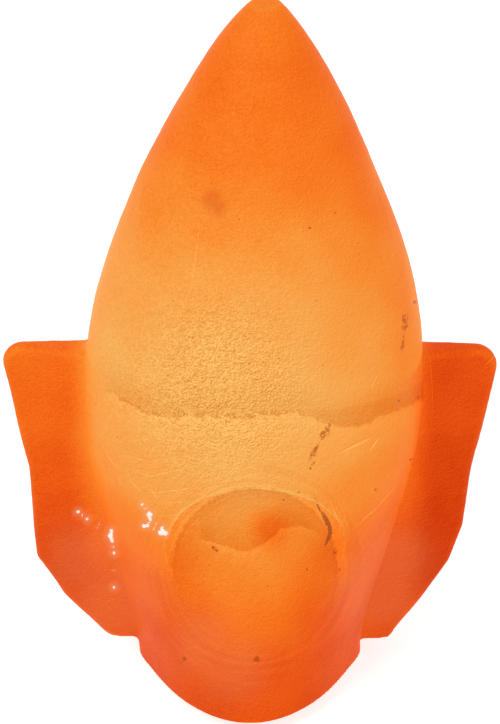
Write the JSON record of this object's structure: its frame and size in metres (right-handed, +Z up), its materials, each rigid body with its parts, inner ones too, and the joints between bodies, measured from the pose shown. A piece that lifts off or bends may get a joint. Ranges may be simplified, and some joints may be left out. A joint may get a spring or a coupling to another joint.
{
  "type": "salt crystal lamp",
  "caption": "Table lamp: a tall pointed block of carved rock salt with two side petals, lit by a small bulb on a lampholder pushed up its bore.",
  "frame": {"origin": "on the table, on the axis of the bore, in the middle of the rubber foot pad's underside", "axes": "+Z up along the bore; the carved front of the block looks along -Y; +X to the right seen from the front"},
  "size_m": [0.164, 0.098, 0.2515],
  "materials": {
    "rock_salt": "satin",
    "turned_beech": "satin",
    "black_rubber": "matte",
    "zinc_steel": "satin",
    "spring_steel": "satin",
    "moulded_resin": "satin",
    "steatite": "satin",
    "pressed_brass": "satin",
    "nickel_plate": "satin",
    "black_glass": "gloss",
    "clear_glass": "gloss",
    "solder": "satin",
    "glowing_wire": "satin"
  },
  "bodies": {
    "salt_block": {"salt_body": "rock_salt", "base_ring": "turned_beech", "foot_pad": "black_rubber", "base_screws": "zinc_steel", "cord_grommet": "black_rubber"},
    "lampholder": {"holder_cap": "moulded_resin", "entry_nipple": "moulded_resin", "holder_shell": "moulded_resin", "insulator_block": "steatite", "terminal_screws": "zinc_steel", "screw_shell": "pressed_brass", "centre_contact": "pressed_brass", "shade_ring": "moulded_resin", "clip_spring": "spring_steel"},
    "bulb": {"bulb_cap": "nickel_plate", "cap_insulator": "black_glass", "tip_contact": "solder", "glass_envelope": "clear_glass", "glass_stem": "clear_glass", "lead_wires": "glowing_wire", "filament": "glowing_wire"}
  },
  "joints": [
    {"name": "holder_slide", "type": "slide", "parent": "salt_block", "child": "lampholder", "axis": [0, 0, -1], "range_m": [0, 0.12]},
    {"name": "bulb_turn", "type": "hinge", "parent": "lampholder", "child": "bulb", "pos_m": [0, 0, 0.05], "axis": [0, 0, 1], "range_deg": [0, 900]}
  ]
}
